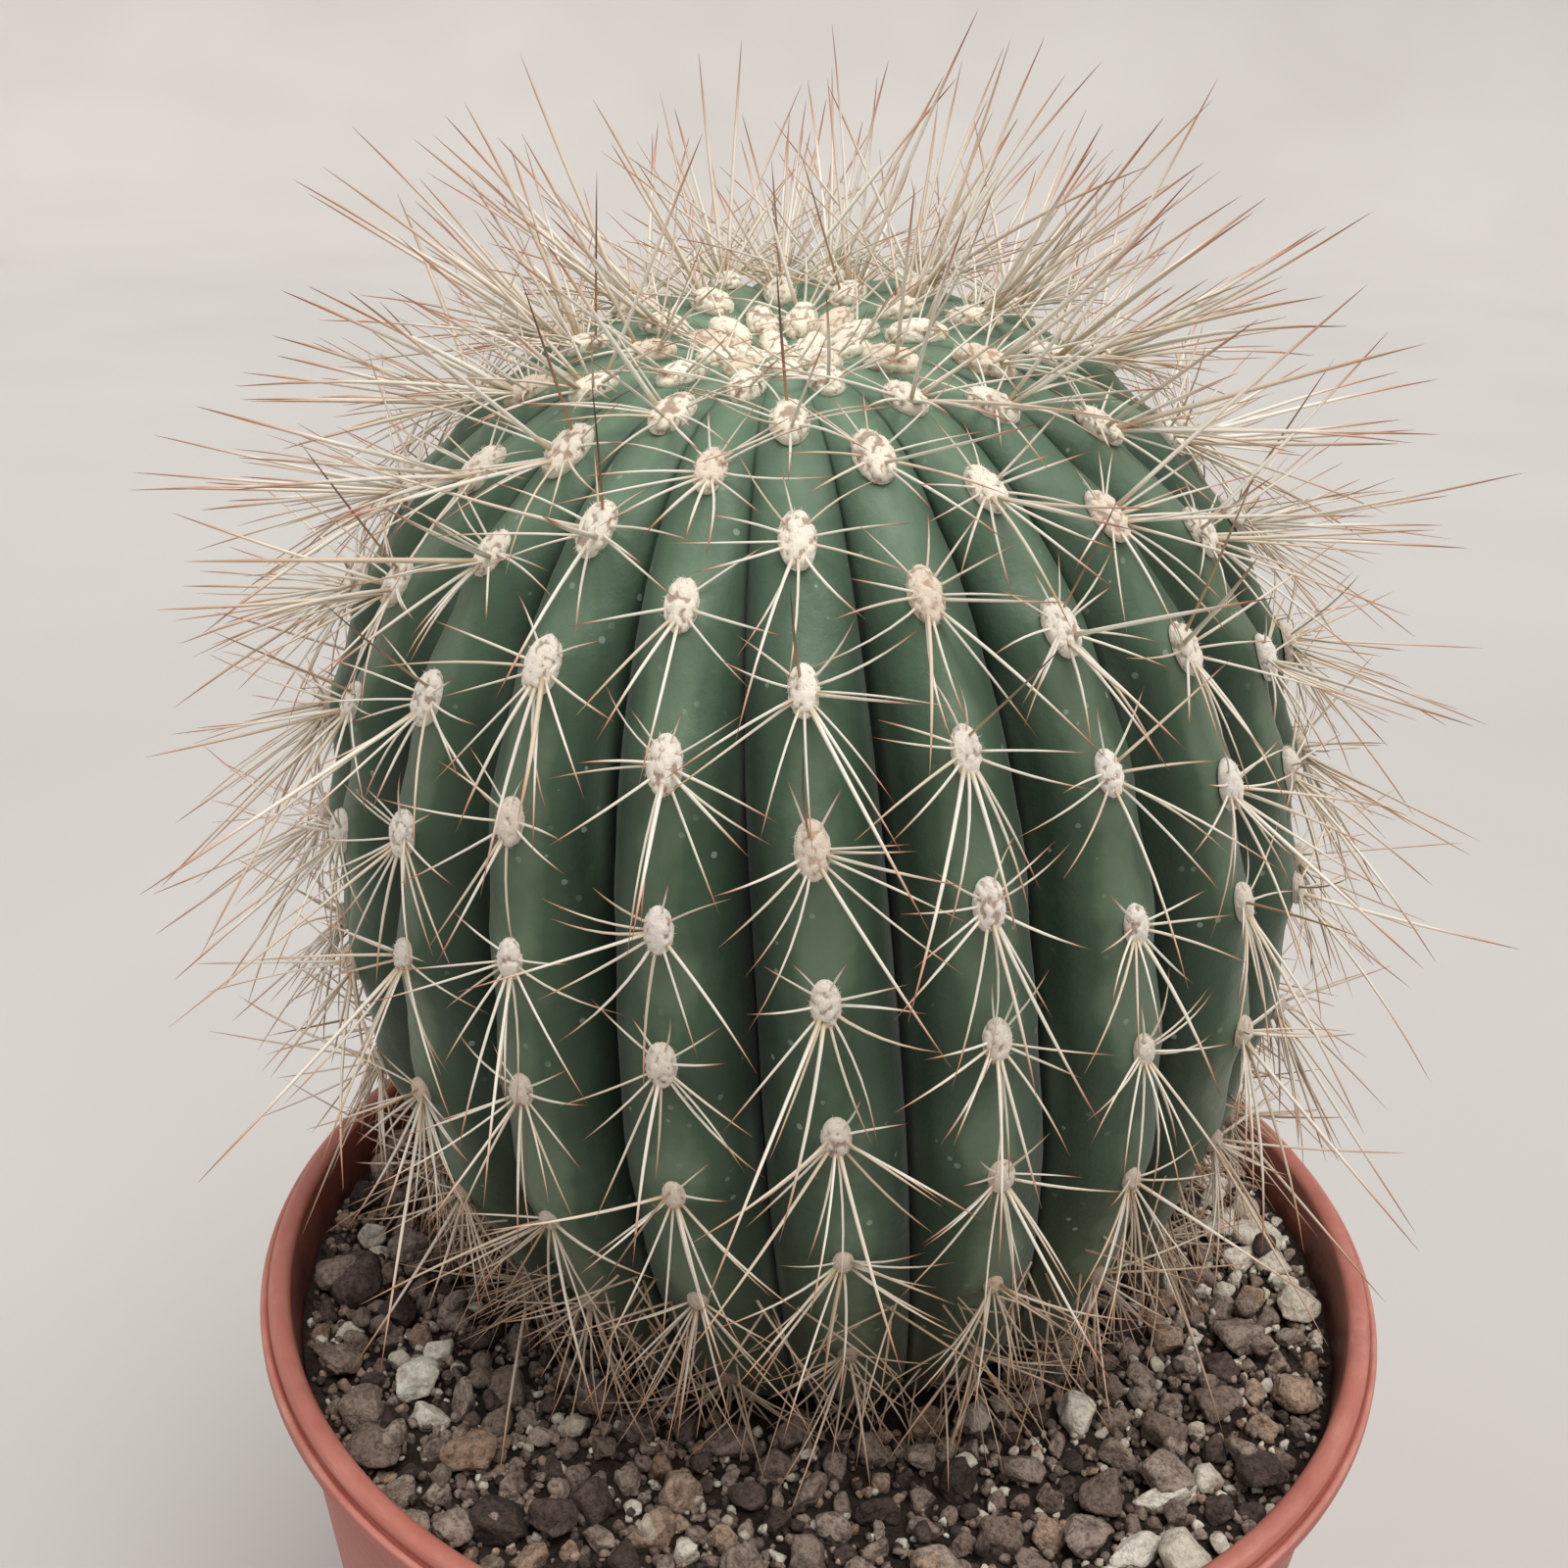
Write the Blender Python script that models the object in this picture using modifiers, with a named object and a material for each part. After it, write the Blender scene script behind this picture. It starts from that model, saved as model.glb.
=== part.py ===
"""A round, ribbed cactus growing in a plastic pot of gritty soil, with loose stones on top.

Metres, +Z up. The origin is the centre of the pot's flat underside, and -Y is the front.
The stem has a leaning axis of its own. A place on it is given by a polar angle, from the
middle of the crown down, and by a rib, counted from the front towards +X.
"""

import math
import random

import bmesh
import bpy
from mathutils import Euler, Matrix, Vector, noise

MM = 0.001
GAP = 0.3 * MM  # air between pieces that touch in the real thing

# Stem
STEM_RADIUS = 67 * MM  # over the ribs, at the widest
RIBS = 22
FURROW_DEPTH = 11 * MM
STEM_HEIGHT_SHARE = 1.336  # height of the stem's own centre over the soil, in stem radii
STEM_OFFSET = Vector((-4.6 * MM, 4 * MM, 0))
STEM_LEAN = Euler((math.radians(10.4), math.radians(-5.1), 0))
FRONT_RIB_TURN = math.radians(1.6)
STEM_RINGS = 22
POINTS_PER_RIB = 4

# Pot
POT_HEIGHT = 130 * MM
RIM_CLEARANCE = 13 * MM  # between the rim's inside and the stem at its widest
RIM_WIDTH = 4.4 * MM
RIM_DEPTH = 4.2 * MM
RIM_ROUND = 1.6 * MM
RIM_BAND_DROP = 1.8 * MM  # from the rim's top down to the band outside its roll
RIM_BAND_ROUND = 0.6 * MM
TAPER = 13 * MM  # how much narrower the pot is at its foot
BASE_ROUND = 2 * MM
WALL = 1.5 * MM
FLOOR = 2 * MM
DRAIN_HOLES = 6
DRAIN_RADIUS = 4.5 * MM
DRAIN_RING = 40 * MM
DRAIN_SIDES = 16
POT_STEPS = 48

# Soil
SOIL_DROP = 8.5 * MM  # from the rim's top down to the soil
SOIL_MOUND = 1.5 * MM  # how far the soil rises at the stem
MOUND_RADIUS = 47 * MM
SOCKET_CLEARANCE = 0.45 * MM  # between the stem's foot and the soil round it

# (polar angle in degrees, distance from the centre as a share of STEM_RADIUS)
STEM_OUTLINE = (
    (0, 0.785),
    (14, 0.857),
    (28, 0.91),
    (45, 0.935),
    (65, 0.95),
    (90, 0.98),
    (112, 1.085),
    (130, 1.225),
    (146, 1.41),
    (160, 1.55),
    (180, 1.55),
)
# (polar angle in degrees, depth of the furrows as a share of FURROW_DEPTH)
FURROW_OUTLINE = (
    (0, 0.0),
    (14, 0.22),
    (28, 0.5),
    (45, 0.8),
    (65, 0.95),
    (90, 1.0),
    (115, 0.8),
    (135, 0.5),
    (155, 0.15),
    (180, 0.0),
)

# Areoles: woolly pads on the ribs' crests, each with its spines
PAD_WIDTH = 3.8 * MM
PAD_LENGTH = 6.6 * MM
PAD_HEIGHT = 1.6 * MM
PAD_UNDERSIDE = 0.2  # how far a pad reaches below its widest line, as a share of its height
SPINE_ROOT = 0.35  # height of the spines' roots in a pad, as a share of its height
SPINE_BASE = 0.4 * MM
SPINE_TIP = 0.1 * MM
# Each spine: degrees round from the rib's upward direction, degrees up from the pad, length
CROWN_SPINES = (
    (0, 84, 31 * MM),
    (180, 60, 25 * MM),
    (0, 58, 16 * MM),
)
SHOULDER_SPINES = (
    (0, 62, 24 * MM),
    (80, 38, 14 * MM),
    (-80, 38, 14 * MM),
    (160, 40, 20 * MM),
    (-160, 40, 20 * MM),
)
WIDEST_SPINES = (
    (0, 78, 33 * MM),
    (75, 34, 15 * MM),
    (-75, 34, 15 * MM),
    (150, 36, 22 * MM),
    (-150, 36, 22 * MM),
)
# Name, polar angle in degrees, first rib and spines of each tier, on every second rib
TIERS = (
    ("crown", 16, 1, CROWN_SPINES),
    ("shoulder", 46.5, 1, SHOULDER_SPINES),
    ("widest", 84.5, 0, WIDEST_SPINES),
)

# Stones lying on the soil, in two rows on each side of the stem's front
STONES_PER_SIDE = 9
STONE_SIZE = 6.5 * MM
FIRST_STONE = math.radians(25)  # from the front
STONE_SPREAD = math.radians(7.2)
STONE_SMALLEST = 0.85  # sizes run between these shares of STONE_SIZE
STONE_LARGEST = 1.2
STONE_FLATNESS = 0.62
STONE_ROUGHNESS = 0.32
STONE_LUMPS = 2.2  # lumps across a stone
STONE_ROOM = 1.25  # widest that a lumpy stone gets, as a share of STONE_SIZE
STONE_CLEARANCE = 1 * MM  # between the stones and the pot's wall, and between their rows
STONE_SEED = 4
SEED_STEP = 7.3

RIM_INNER_RADIUS = STEM_RADIUS + RIM_CLEARANCE
RIM_OUTER_RADIUS = RIM_INNER_RADIUS + RIM_WIDTH
BASE_RADIUS = RIM_INNER_RADIUS - TAPER
SOIL_TOP = POT_HEIGHT - SOIL_DROP


def clear_scene():
    for obj in list(bpy.data.objects):
        bpy.data.objects.remove(obj)


def new_collection(name):
    collection = bpy.data.collections.new(name)
    bpy.context.scene.collection.children.link(collection)
    return collection


def new_material(name, colour, roughness):
    material = bpy.data.materials.new(name)
    material.use_nodes = True
    shader = material.node_tree.nodes["Principled BSDF"]
    shader.inputs["Base Color"].default_value = (*colour, 1)
    shader.inputs["Roughness"].default_value = roughness
    shader.inputs["Metallic"].default_value = 0
    return material


def new_object(name, mesh, collection, material=None, parent=None):
    obj = bpy.data.objects.new(name, mesh)
    collection.objects.link(obj)
    obj.parent = parent
    if material and not mesh.materials:
        mesh.materials.append(material)
    return obj


def new_cutter(name, mesh, collection, parent=None):
    cutter = new_object(name, mesh, collection, parent=parent)
    cutter.hide_render = True
    cutter.display_type = "WIRE"
    return cutter


def mesh_from(bm, name):
    mesh = bpy.data.meshes.new(name)
    bm.to_mesh(mesh)
    bm.free()
    mesh.shade_smooth()
    mesh.set_sharp_from_angle(angle=math.radians(40))
    return mesh


def boolean(obj, operation, other):
    modifier = obj.modifiers.new(other.name, "BOOLEAN")
    modifier.operation = operation
    modifier.object = other


def turned(name, profile, collection, material):
    """A solid turned about Z from (radius, height) points that run down its outer side."""
    mesh = bpy.data.meshes.new(name)
    points = [(radius, 0, height) for radius, height in profile]
    mesh.from_pydata(points, [(i, i + 1) for i in range(len(points) - 1)], [])
    obj = new_object(name, mesh, collection, material)
    screw = obj.modifiers.new("turn", "SCREW")
    screw.steps = screw.render_steps = POT_STEPS
    screw.use_merge_vertices = True
    screw.merge_threshold = 0.0001
    screw.use_smooth_shade = True
    return obj


def arc(centre_radius, centre_height, radius, start, end, steps):
    """Points on an arc, with its angles in degrees counted from outwards up to +Z."""
    points = []
    for step in range(steps + 1):
        angle = math.radians(start + (end - start) * step / steps)
        along, up = radius * math.cos(angle), radius * math.sin(angle)
        points.append((centre_radius + along, centre_height + up))
    return points


def along_outline(outline, degrees):
    """The value of an outline at a polar angle, on a smooth curve through its points."""
    angles = [point[0] for point in outline]
    values = [point[1] for point in outline]
    last = len(outline) - 1

    def slope(i):
        if i in (0, last):
            return 0.0
        return (values[i + 1] - values[i - 1]) / (angles[i + 1] - angles[i - 1])

    i = max(j for j in range(last) if angles[j] <= degrees)
    width = angles[i + 1] - angles[i]
    t = (degrees - angles[i]) / width
    start = (1 + 2 * t) * (1 - t) ** 2 * values[i] + t * (1 - t) ** 2 * width * slope(i)
    end = t * t * (3 - 2 * t) * values[i + 1] - t * t * (1 - t) * width * slope(i + 1)
    return start + end


# ---------------------------------------------------------------- pot and soil


def inner_wall_radius(height):
    """Radius of the pot's inside at a height, on its straight taper."""
    share = height / (POT_HEIGHT - RIM_ROUND)
    return (BASE_RADIUS - WALL) * (1 - share) + RIM_INNER_RADIUS * share


def pot_profile():
    """From the middle of the floor up the inside, over the rolled rim and down the outside."""
    roll_radius = RIM_INNER_RADIUS + RIM_ROUND
    roll_height = POT_HEIGHT - RIM_ROUND
    band_top = POT_HEIGHT - RIM_BAND_DROP
    under_rim = POT_HEIGHT - RIM_DEPTH
    profile = [(0, FLOOR), (inner_wall_radius(FLOOR), FLOOR)]
    profile += arc(roll_radius, roll_height, RIM_ROUND, 180, 40, 6)
    profile.append((RIM_OUTER_RADIUS - 2 * RIM_BAND_ROUND, band_top))
    band_radius = RIM_OUTER_RADIUS - RIM_BAND_ROUND
    profile += arc(band_radius, band_top - RIM_BAND_ROUND, RIM_BAND_ROUND, 70, 0, 2)
    profile += arc(band_radius, under_rim + RIM_BAND_ROUND, RIM_BAND_ROUND, 0, -90, 2)
    profile.append((inner_wall_radius(under_rim) + WALL, under_rim))
    profile += arc(BASE_RADIUS - BASE_ROUND, BASE_ROUND, BASE_ROUND, 0, -90, 4)
    profile.append((0, 0))
    return profile


def drain_hole_mesh():
    bm = bmesh.new()
    for hole in range(DRAIN_HOLES):
        angle = 2 * math.pi * hole / DRAIN_HOLES
        place = Vector((math.sin(angle), -math.cos(angle), 0)) * DRAIN_RING
        place.z = FLOOR / 2
        bmesh.ops.create_cone(
            bm,
            cap_ends=True,
            segments=DRAIN_SIDES,
            radius1=DRAIN_RADIUS,
            radius2=DRAIN_RADIUS,
            depth=3 * FLOOR,
            matrix=Matrix.Translation(place),
        )
    return mesh_from(bm, "drain_holes")


def build_pot(parts, cutters):
    plastic = new_material("pot_plastic", (0.50, 0.145, 0.095), 0.5)
    pot = turned("pot", pot_profile(), parts, plastic)
    boolean(pot, "DIFFERENCE", new_cutter("drain_holes", drain_hole_mesh(), cutters))


def build_soil(parts, socket):
    bottom = FLOOR + GAP
    profile = [
        (0, SOIL_TOP + SOIL_MOUND),
        (MOUND_RADIUS, SOIL_TOP),
        (inner_wall_radius(SOIL_TOP) - GAP, SOIL_TOP),
        (inner_wall_radius(bottom) - GAP, bottom),
        (0, bottom),
    ]
    grit = new_material("soil_grit", (0.075, 0.05, 0.038), 0.95)
    boolean(turned("soil", profile, parts, grit), "DIFFERENCE", socket)


# ------------------------------------------------------------------------ stem


def crest(degrees, outward=0.0):
    """(radius, height) of the ribs' crests at a polar angle, from the stem's own centre."""
    distance = along_outline(STEM_OUTLINE, degrees) * STEM_RADIUS + outward
    angle = math.radians(degrees)
    return distance * math.sin(angle), distance * math.cos(angle)


def furrow_share(turn):
    """0 on a rib's crest and 1 in the furrow beside it. turn counts ribs."""
    across = 2 * abs(turn - round(turn))
    return 1 - math.sqrt(max(0.0, 1 - across * across))


def stem_mesh(name, outward=0.0):
    """The ribbed globe, grown outwards by the given amount for the hole that it sits in."""
    bm = bmesh.new()
    bmesh.ops.create_uvsphere(
        bm, u_segments=RIBS * POINTS_PER_RIB, v_segments=STEM_RINGS, radius=1
    )
    for vert in bm.verts:
        degrees = math.degrees(math.acos(max(-1.0, min(1.0, vert.co.z))))
        around = math.atan2(vert.co.x, -vert.co.y)
        radius, height = crest(degrees, outward)
        depth = along_outline(FURROW_OUTLINE, degrees) * FURROW_DEPTH
        inwards = depth * furrow_share(around * RIBS / (2 * math.pi))
        radius = max(0.0, radius - inwards * math.sin(math.radians(degrees)))
        vert.co = (radius * math.sin(around), -radius * math.cos(around), height)
    return mesh_from(bm, name)


def build_stem(parts, cutters):
    """The stem, and the hole for its foot. Both turn with the leaning axis."""
    axis = bpy.data.objects.new("stem_axis", None)
    parts.objects.link(axis)
    axis.location = STEM_OFFSET + Vector((0, 0, SOIL_TOP + STEM_HEIGHT_SHARE * STEM_RADIUS))
    axis.rotation_euler = STEM_LEAN
    skin = new_material("cactus_skin", (0.085, 0.19, 0.125), 0.5)
    stem = new_object("cactus_stem", stem_mesh("cactus_stem"), parts, skin, axis)
    socket_mesh = stem_mesh("stem_socket", outward=SOCKET_CLEARANCE)
    socket = new_cutter("stem_socket", socket_mesh, cutters, axis)
    for obj in (stem, socket):
        obj.rotation_euler.z = FRONT_RIB_TURN
    return stem, socket


# --------------------------------------------------------------------- areoles


def pad_mesh(name):
    """A low woolly cushion, flat below. X is across the rib, Y up it and Z out of it."""
    bm = bmesh.new()
    bmesh.ops.create_uvsphere(bm, u_segments=8, v_segments=4, radius=1)
    for vert in bm.verts:
        share = vert.co.z if vert.co.z > 0 else vert.co.z * PAD_UNDERSIDE
        vert.co.x *= PAD_WIDTH / 2
        vert.co.y *= PAD_LENGTH / 2
        vert.co.z = (share + PAD_UNDERSIDE) * PAD_HEIGHT
    return mesh_from(bm, name)


def spine_mesh(name, length):
    """A thin cone along Z that starts in the pad."""
    bm = bmesh.new()
    bmesh.ops.create_cone(
        bm,
        cap_ends=True,
        segments=4,
        radius1=SPINE_BASE,
        radius2=SPINE_TIP,
        depth=length,
        matrix=Matrix.Translation((0, 0, length / 2)),
    )
    return mesh_from(bm, name)


def cluster_mesh(tier, spines, helpers):
    """A pad and its spines joined into one body, which all the pads of a tier share."""
    pad = new_object(tier, pad_mesh(tier), helpers)
    made = [pad]
    for number, (around, up, length) in enumerate(spines):
        spine = new_cutter(f"{tier}_spine_{number}", spine_mesh("spine", length), helpers)
        out = Vector(
            (
                math.sin(math.radians(around)) * math.cos(math.radians(up)),
                math.cos(math.radians(around)) * math.cos(math.radians(up)),
                math.sin(math.radians(up)),
            )
        )
        spine.rotation_euler = out.to_track_quat("Z", "Y").to_euler()
        spine.location = (0, 0, SPINE_ROOT * PAD_HEIGHT)
        boolean(pad, "UNION", spine)
        made.append(spine)
    bpy.context.view_layer.update()
    graph = bpy.context.evaluated_depsgraph_get()
    mesh = bpy.data.meshes.new_from_object(pad.evaluated_get(graph))
    mesh.name = f"areole_{tier}"
    for obj in made:
        bpy.data.objects.remove(obj)
    return mesh


def on_crest(degrees, rib):
    """Where a pad sits on a crest, as a matrix with X across the rib and Z out of it."""
    step = 0.5
    radius, height = crest(degrees)
    radius_up, height_up = crest(degrees - step)
    around = 2 * math.pi * rib / RIBS
    outwards = Vector((math.sin(around), -math.cos(around), 0))
    up = (outwards * (radius_up - radius) + Vector((0, 0, height_up - height))).normalized()
    across = Vector((math.cos(around), math.sin(around), 0))
    out = across.cross(up)
    place = outwards * radius + Vector((0, 0, height)) + out * GAP
    turn = Matrix((across, up, out)).transposed().to_4x4()
    return Matrix.Translation(place) @ turn


def build_areoles(parts, helpers, stem):
    wool = new_material("areole_wool", (0.62, 0.5, 0.37), 0.9)
    for tier, degrees, first_rib, spines in TIERS:
        mesh = cluster_mesh(tier, spines, helpers)
        mesh.materials.append(wool)
        for number, rib in enumerate(range(first_rib, RIBS, 2), 1):
            name = f"areole_{tier}_{number:02d}"
            areole = new_object(name, mesh, parts, parent=stem)
            areole.matrix_local = on_crest(degrees, rib)


# ---------------------------------------------------------------------- stones


def stone_mesh(name, size, seed):
    """A lumpy pebble whose lowest point is at z = 0."""
    bm = bmesh.new()
    bmesh.ops.create_icosphere(bm, subdivisions=2, radius=size / 2)
    for vert in bm.verts:
        bump = noise.noise(vert.co / size * STONE_LUMPS + Vector((seed * SEED_STEP, 0, 0)))
        vert.co *= 1 + STONE_ROUGHNESS * bump
        vert.co.z *= STONE_FLATNESS
    lowest = min(vert.co.z for vert in bm.verts)
    bmesh.ops.translate(bm, verts=bm.verts, vec=(0, 0, -lowest))
    return mesh_from(bm, name)


def build_stones(parts):
    """On each side the stones lie by turns in an outer and an inner row."""
    grey = new_material("stone_grey", (0.30, 0.25, 0.21), 0.9)
    draw = random.Random(STONE_SEED)
    room = STONE_ROOM * STONE_SIZE
    outer = inner_wall_radius(SOIL_TOP) - STONE_CLEARANCE - room / 2
    inner = outer - room - STONE_CLEARANCE
    number = 0
    for side in (-1, 1):
        for place in range(STONES_PER_SIDE):
            number += 1
            around = side * (FIRST_STONE + place * STONE_SPREAD)
            radius = outer if place % 2 == 0 else inner
            size = STONE_SIZE * draw.uniform(STONE_SMALLEST, STONE_LARGEST)
            name = f"stone_{number:02d}"
            stone = new_object(name, stone_mesh(name, size, number), parts, grey)
            stone.location = (radius * math.sin(around), -radius * math.cos(around), SOIL_TOP + GAP)
            stone.rotation_euler.z = draw.uniform(0, 2 * math.pi)


def main():
    clear_scene()
    parts = new_collection("potted_round_cactus")
    cutters = new_collection("cutters")
    build_pot(parts, cutters)
    stem, socket = build_stem(parts, cutters)
    build_soil(parts, socket)
    build_areoles(parts, cutters, stem)
    build_stones(parts)


main()
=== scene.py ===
import math

import bmesh
import bpy
import numpy as np
from mathutils import Euler, Matrix, Vector


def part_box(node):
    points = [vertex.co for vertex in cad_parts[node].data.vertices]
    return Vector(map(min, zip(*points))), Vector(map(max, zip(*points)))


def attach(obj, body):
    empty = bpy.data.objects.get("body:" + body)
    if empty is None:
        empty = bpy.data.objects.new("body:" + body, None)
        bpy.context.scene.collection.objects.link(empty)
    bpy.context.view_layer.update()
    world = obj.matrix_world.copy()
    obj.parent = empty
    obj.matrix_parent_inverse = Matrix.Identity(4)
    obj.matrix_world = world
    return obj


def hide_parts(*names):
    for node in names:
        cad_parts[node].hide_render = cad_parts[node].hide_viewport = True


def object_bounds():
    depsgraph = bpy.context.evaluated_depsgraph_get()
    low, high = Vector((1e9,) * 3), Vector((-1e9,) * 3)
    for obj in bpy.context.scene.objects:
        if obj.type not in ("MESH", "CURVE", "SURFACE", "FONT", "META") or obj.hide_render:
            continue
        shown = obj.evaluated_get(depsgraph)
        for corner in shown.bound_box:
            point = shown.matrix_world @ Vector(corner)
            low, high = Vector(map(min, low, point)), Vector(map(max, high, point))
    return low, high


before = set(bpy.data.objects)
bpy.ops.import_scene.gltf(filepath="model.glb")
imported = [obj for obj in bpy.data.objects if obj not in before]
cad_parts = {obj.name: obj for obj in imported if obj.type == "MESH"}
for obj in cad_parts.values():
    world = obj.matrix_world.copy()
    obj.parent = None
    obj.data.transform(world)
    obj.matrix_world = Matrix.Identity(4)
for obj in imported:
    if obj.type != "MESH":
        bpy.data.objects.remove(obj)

CAD_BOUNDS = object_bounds()
MM = 0.001
MOST_FACES = 170000  # of one piece
rng = np.random.default_rng(7)

# ------------------------ sizes
# Places come from the CAD nodes; the stem's form follows the CAD source's own sizes.

POT_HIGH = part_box("pot")[1]
SOIL_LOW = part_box("soil")[0]
RIM_TOP = POT_HIGH.z
RIM_OUTER_RADIUS = POT_HIGH.x
RIM_ROUND = 1.6 * MM
RIM_INNER_RADIUS = RIM_OUTER_RADIUS - 4.4 * MM
RIM_DEPTH = 4.2 * MM
BASE_RADIUS = 67 * MM
WALL = 1.5 * MM
FLOOR = 2 * MM
DRAIN_HOLES = 6
DRAIN_RADIUS = 4.5 * MM
DRAIN_RING = 40 * MM
SOIL_MOUND = 1.5 * MM
MOUND_RADIUS = 47 * MM
SOIL_TOP = RIM_TOP - 8.5 * MM

STEM_RADIUS = 67 * MM
RIBS = 22
FURROW_DEPTH = 11 * MM
STEM_CENTRE = Vector((-4.6 * MM, 4 * MM, SOIL_TOP + 1.336 * STEM_RADIUS))
STEM_LEAN = Euler((math.radians(10.4), math.radians(-5.1), 0))
FRONT_RIB_TURN = math.radians(1.6)
# The crest's distance from the stem's centre, as a share of STEM_RADIUS, and the furrows' depth, as
# a share of FURROW_DEPTH, by polar angle in degrees
STEM_OUTLINE = ((0, .785), (14, .857), (28, .91), (45, .935), (65, .95), (90, .98),
                (112, 1.085), (130, 1.225), (146, 1.41), (160, 1.55), (180, 1.55))
FURROW_OUTLINE = ((0, 0), (14, .22), (28, .5), (45, .8), (65, .95), (90, 1),
                  (115, .8), (135, .5), (155, .15), (180, 0))
# Polar angle of the first areole on even and odd ribs, and the step to the next
FIRST_AREOLE = (9.0, 16.2)
AREOLE_STEP = 15.25
AREOLES_PER_RIB = 10
LAST_AREOLE = 152  # none grows below this polar angle
OLDEST = 150  # polar angle at which the attribute age reaches 1
TIERS = ("crown", "shoulder", "widest")

STEM_TURN = STEM_LEAN.to_matrix() @ Matrix.Rotation(FRONT_RIB_TURN, 3, "Z")
TURN = np.array(STEM_TURN)
CENTRE = np.array(STEM_CENTRE)


# ------------------------ helpers

def smooth_curve(outline):
    """The outline's values each half degree, on a smooth curve through its points."""
    angles = np.array([p[0] for p in outline], float)
    values = np.array([p[1] for p in outline], float)
    slopes = np.zeros(len(outline))
    slopes[1:-1] = (values[2:] - values[:-2]) / (angles[2:] - angles[:-2])
    at = np.arange(0, 180.5, 0.5)
    i = np.clip(np.searchsorted(angles, at, side="right") - 1, 0, len(angles) - 2)
    width = angles[i + 1] - angles[i]
    t = (at - angles[i]) / width
    start = (1 + 2 * t) * (1 - t) ** 2 * values[i] + t * (1 - t) ** 2 * width * slopes[i]
    end = t * t * (3 - 2 * t) * values[i + 1] - t * t * (1 - t) * width * slopes[i + 1]
    return at, start + end


STEM_CURVE = smooth_curve(STEM_OUTLINE)
FURROW_CURVE = smooth_curve(FURROW_OUTLINE)


def value_noise(points, size, seed=0):
    """Smooth noise from -1 to 1 at points, on a lattice of the given size."""
    p = np.asarray(points, float) / size + 19.7 * seed + 1000
    cell = np.floor(p).astype(np.int64)
    f = p - cell
    f = f * f * (3 - 2 * f)
    total = np.zeros(len(p))
    for corner in range(8):
        d = np.array([corner & 1, (corner >> 1) & 1, (corner >> 2) & 1])
        c = cell + d
        h = (c[:, 0] * 73856093) ^ (c[:, 1] * 19349663) ^ (c[:, 2] * 83492791)
        h = ((h ^ (h >> 13)) * 1274126177) & 0x7FFFFFFF
        h = ((h ^ (h >> 11)) * 668265263) & 0x7FFFFFFF
        weight = np.prod(np.where(d == 1, f, 1 - f), axis=1)
        total += weight * ((h % 20011) / 10005.5 - 1)
    return total


def new_mesh(name, verts, faces, **attributes):
    """A smooth mesh object from arrays. faces has 3 or 4 columns."""
    mesh = bpy.data.meshes.new(name)
    verts = np.ascontiguousarray(verts, np.float32)
    faces = np.ascontiguousarray(faces, np.int32)
    count, corners = faces.shape
    mesh.vertices.add(len(verts))
    mesh.vertices.foreach_set("co", verts.ravel())
    mesh.loops.add(count * corners)
    mesh.loops.foreach_set("vertex_index", faces.ravel())
    mesh.polygons.add(count)
    starts = np.arange(0, count * corners, corners, dtype=np.int32)
    mesh.polygons.foreach_set("loop_start", starts)
    for key, values in attributes.items():
        layer = mesh.attributes.new(key, "FLOAT", "POINT")
        layer.data.foreach_set("value", np.ascontiguousarray(values, np.float32))
    mesh.update(calc_edges=True)
    mesh.shade_smooth()
    obj = bpy.data.objects.new(name, mesh)
    bpy.context.scene.collection.objects.link(obj)
    return obj


def finish_piece(obj, material, slot, *nodes):
    """Gives a piece its material and hides the CAD nodes that it replaces; its slot is not used."""
    obj.data.materials.append(material)
    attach(obj, "root")
    if nodes:
        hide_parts(*nodes)


def between_rings(rings, steps, flip=False):
    """Triangles between closed rings of points that follow one another, steps points in each."""
    i, j = np.meshgrid(np.arange(rings - 1), np.arange(steps), indexing="ij")
    i, j = i.ravel(), j.ravel()
    k = (j + 1) % steps
    a, b = i * steps, (i + 1) * steps
    if flip:
        return np.concatenate([np.stack([a + j, b + j, b + k], 1),
                               np.stack([a + j, b + k, a + k], 1)])
    return np.concatenate([np.stack([a + j, a + k, b + k], 1), np.stack([a + j, b + k, b + j], 1)])


def fan(pole, start, steps, flip=False):
    """Triangles between a pole and the ring of points from start on."""
    j = np.arange(steps)
    k = (j + 1) % steps
    one, other = (k, j) if flip else (j, k)
    return np.stack([np.full(steps, pole), start + one, start + other], 1)


def joined(parts):
    """One vertex array and one face array from many (vertices, faces)."""
    verts, faces, start = [], [], 0
    for v, f in parts:
        verts.append(v)
        faces.append(f + start)
        start += len(v)
    return np.concatenate(verts), np.concatenate(faces)


def ico(level):
    """Vertices and faces of a unit icosphere."""
    mesh = bpy.data.meshes.new("ico")
    bm = bmesh.new()
    bmesh.ops.create_icosphere(bm, subdivisions=level, radius=1)
    bm.to_mesh(mesh)
    bm.free()
    verts = np.array([v.co for v in mesh.vertices], float)
    faces = np.array([tuple(p.vertices) for p in mesh.polygons], np.int64)
    bpy.data.meshes.remove(mesh)
    return verts, faces


# ------------------------ materials

BLACK, WHITE = (0, 0, 0), (1, 1, 1)


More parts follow.
